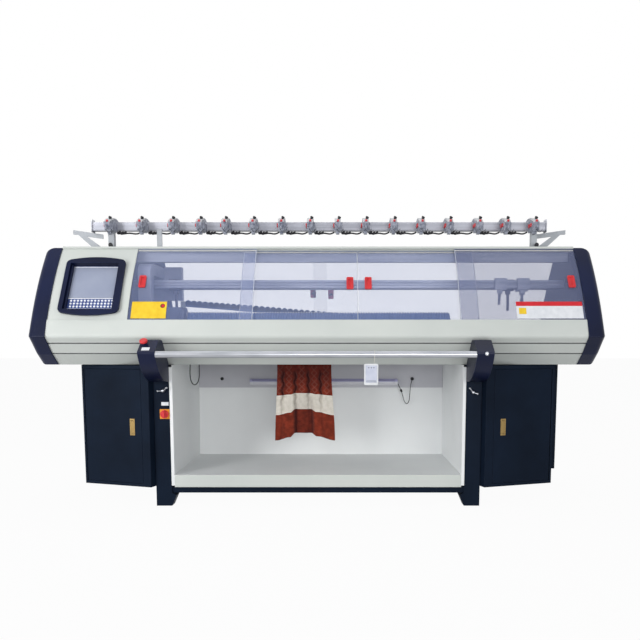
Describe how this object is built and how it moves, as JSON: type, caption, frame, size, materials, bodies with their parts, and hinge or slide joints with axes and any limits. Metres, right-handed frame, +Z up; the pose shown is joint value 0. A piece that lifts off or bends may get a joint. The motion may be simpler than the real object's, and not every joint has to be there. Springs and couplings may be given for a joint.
{
  "type": "flat knitting machine",
  "caption": "Computer-controlled flat knitting machine with curved sliding covers, twin needle beds, carriage, yarn rack, fabric bin and side cabinets",
  "frame": {"origin": "on the floor, in the middle of the machine's length and depth", "axes": "+Z up, +X along the needle beds to the operator's right, -Y towards the operator"},
  "size_m": [2.82, 0.9448, 1.5184],
  "materials": {
    "navy_paint": "satin",
    "navy_plastic": "satin",
    "fascia_grey": "satin",
    "white_sheet": "satin",
    "window": "gloss",
    "red_plastic": "gloss",
    "orange_plastic": "gloss",
    "white_plastic": "satin",
    "black_plastic": "satin",
    "black_rubber": "matte",
    "steel": "ground",
    "chrome": "polished",
    "alloy": "satin",
    "brass": "satin",
    "screen_glass": "gloss",
    "keys": "satin",
    "lamp_white": "satin",
    "grey_plastic": "satin",
    "knit": "knitted wool",
    "card_cord_fibre": "twisted"
  },
  "bodies": {
    "machine": {"base_frame": "navy_paint", "left_cabinet": "navy_paint", "right_cabinet": "navy_paint", "power_modules": "alloy", "fabric_bin": "white_sheet", "work_lamp": "lamp_white", "grommets": "black_rubber", "lamp_lead": "black_rubber", "lamp_plug": "white_plastic", "sensor_cable": "black_rubber", "front_fascia": "fascia_grey", "left_end_cap": "navy_plastic", "right_end_cap": "navy_plastic", "control_plate": "fascia_grey", "screen_bezel": "navy_plastic", "screen": "screen_glass", "keypad": "keys", "housing_shell": "fascia_grey", "left_bar_bracket": "navy_plastic", "right_bar_bracket": "navy_plastic", "switch_plate": "orange_plastic", "needle_bed_front": "steel", "carriage_rails": "steel", "feeder_rails": "steel", "top_beam": "alloy", "rack_beam": "white_sheet", "rack_supports": "white_sheet", "tension_units": "white_plastic", "tension_lamps": "red_plastic", "drive_belt": "black_rubber", "cable_chain": "black_plastic", "knitted_panel": "knit"},
    "rear_bed": {"needle_bed_rear": "steel"},
    "carriage": {"carriage_bridge": "alloy", "cam_boxes": "grey_plastic"},
    "outer_left_window": {"outer_left_cover": "window", "outer_left_pull": "red_plastic"},
    "inner_left_window": {"inner_left_cover": "window", "inner_left_pull": "red_plastic"},
    "inner_right_window": {"inner_right_cover": "window", "inner_right_pull": "red_plastic"},
    "outer_right_window": {"outer_right_cover": "window", "outer_right_pull": "red_plastic"},
    "rear_left_window": {"rear_left_cover": "window"},
    "rear_right_window": {"rear_right_cover": "window"},
    "left_door_body": {"left_door": "navy_paint"},
    "right_door_body": {"right_door": "navy_paint"},
    "left_lock": {"left_door_lock": "brass"},
    "right_lock": {"right_door_lock": "brass"},
    "start_bar_body": {"start_bar": "chrome"},
    "stop": {"stop_button": "red_plastic"},
    "switch": {"switch_knob": "red_plastic"},
    "left_feeder_body": {"left_feeder": "steel"},
    "right_feeder_body": {"right_feeder": "steel"},
    "rear_roller": {"take_down_roller": "black_rubber"},
    "front_roller": {"press_roller": "black_rubber"},
    "drive_pulley_body": {"drive_pulley": "alloy"},
    "idler_pulley_body": {"idler_pulley": "alloy"},
    "card": {"hanging_card": "white_plastic", "card_cord": "card_cord_fibre"}
  },
  "joints": [
    {"name": "rear_bed_rack", "type": "slide", "parent": "machine", "child": "rear_bed", "axis": [1, 0, 0], "range_m": [-0.0254, 0.0254]},
    {"name": "carriage_travel", "type": "slide", "parent": "machine", "child": "carriage", "axis": [1, 0, 0], "range_m": [-0.1, 1.74]},
    {"name": "outer_left_window_slide", "type": "slide", "parent": "machine", "child": "outer_left_window", "axis": [1, 0, 0], "range_m": [0, 0.5]},
    {"name": "inner_left_window_slide", "type": "slide", "parent": "machine", "child": "inner_left_window", "axis": [1, 0, 0], "range_m": [-0.54, 0]},
    {"name": "inner_right_window_slide", "type": "slide", "parent": "machine", "child": "inner_right_window", "axis": [1, 0, 0], "range_m": [0, 0.51]},
    {"name": "outer_right_window_slide", "type": "slide", "parent": "machine", "child": "outer_right_window", "axis": [1, 0, 0], "range_m": [-0.5, 0]},
    {"name": "rear_left_window_slide", "type": "slide", "parent": "machine", "child": "rear_left_window", "axis": [1, 0, 0], "range_m": [0, 1.25]},
    {"name": "rear_right_window_slide", "type": "slide", "parent": "machine", "child": "rear_right_window", "axis": [1, 0, 0], "range_m": [-1.25, 0]},
    {"name": "left_door_hinge", "type": "hinge", "parent": "machine", "child": "left_door_body", "pos_m": [-1.20656, -0.13429, 0.4], "axis": [0, 0, -1], "range_deg": [0, 105]},
    {"name": "right_door_hinge", "type": "hinge", "parent": "machine", "child": "right_door_body", "pos_m": [1.20656, -0.13429, 0.4], "axis": [0, 0, 1], "range_deg": [0, 105]},
    {"name": "left_lock_paddle", "type": "hinge", "parent": "left_door_body", "child": "left_lock", "pos_m": [-0.94861, -0.21752, 0.441], "axis": [-0.9572, 0.2894, 0], "range_deg": [0, 35]},
    {"name": "right_lock_paddle", "type": "hinge", "parent": "right_door_body", "child": "right_lock", "pos_m": [0.94861, -0.21752, 0.441], "axis": [-0.9572, -0.2894, 0], "range_deg": [0, 35]},
    {"name": "start_bar_turn", "type": "hinge", "parent": "machine", "child": "start_bar_body", "pos_m": [0, -0.453, 0.788], "axis": [1, 0, 0], "range_deg": [-15, 15], "stiffness_Nm_per_rad": 4},
    {"name": "stop_button_press", "type": "slide", "parent": "machine", "child": "stop", "axis": [0, 0.5783, -0.8158], "range_m": [0, 0.005], "stiffness_N_per_m": 2000},
    {"name": "main_switch_turn", "type": "hinge", "parent": "machine", "child": "switch", "pos_m": [-0.783, -0.22, 0.48], "axis": [0, 1, 0], "range_deg": [0, 90]},
    {"name": "left_feeder_slide", "type": "slide", "parent": "machine", "child": "left_feeder_body", "axis": [1, 0, 0], "range_m": [-0.05, 1.5]},
    {"name": "right_feeder_slide", "type": "slide", "parent": "machine", "child": "right_feeder_body", "axis": [1, 0, 0], "range_m": [-1.75, 0.05]},
    {"name": "rear_roller_spin", "type": "hinge", "parent": "machine", "child": "rear_roller", "pos_m": [0, 0.093, 0.79], "axis": [1, 0, 0], "continuous": true},
    {"name": "front_roller_spin", "type": "hinge", "parent": "machine", "child": "front_roller", "pos_m": [0, 0.031, 0.79], "axis": [1, 0, 0], "continuous": true},
    {"name": "drive_pulley_spin", "type": "hinge", "parent": "machine", "child": "drive_pulley_body", "pos_m": [-1.23, 0.332, 0.85], "axis": [0, 1, 0], "continuous": true},
    {"name": "idler_pulley_spin", "type": "hinge", "parent": "machine", "child": "idler_pulley_body", "pos_m": [1.23, 0.332, 0.85], "axis": [0, 1, 0], "continuous": true},
    {"name": "card_swing", "type": "hinge", "parent": "machine", "child": "card", "pos_m": [0.276, -0.453, 0.788], "axis": [1, 0, 0], "range_deg": [-15, 15]}
  ],
  "couplings": [
    {"joint": "front_roller_spin", "follows": "rear_roller_spin", "ratio": -1},
    {"joint": "drive_pulley_spin", "follows": "carriage_travel", "rad_per_m": 27.778},
    {"joint": "idler_pulley_spin", "follows": "carriage_travel", "rad_per_m": 27.778}
  ]
}
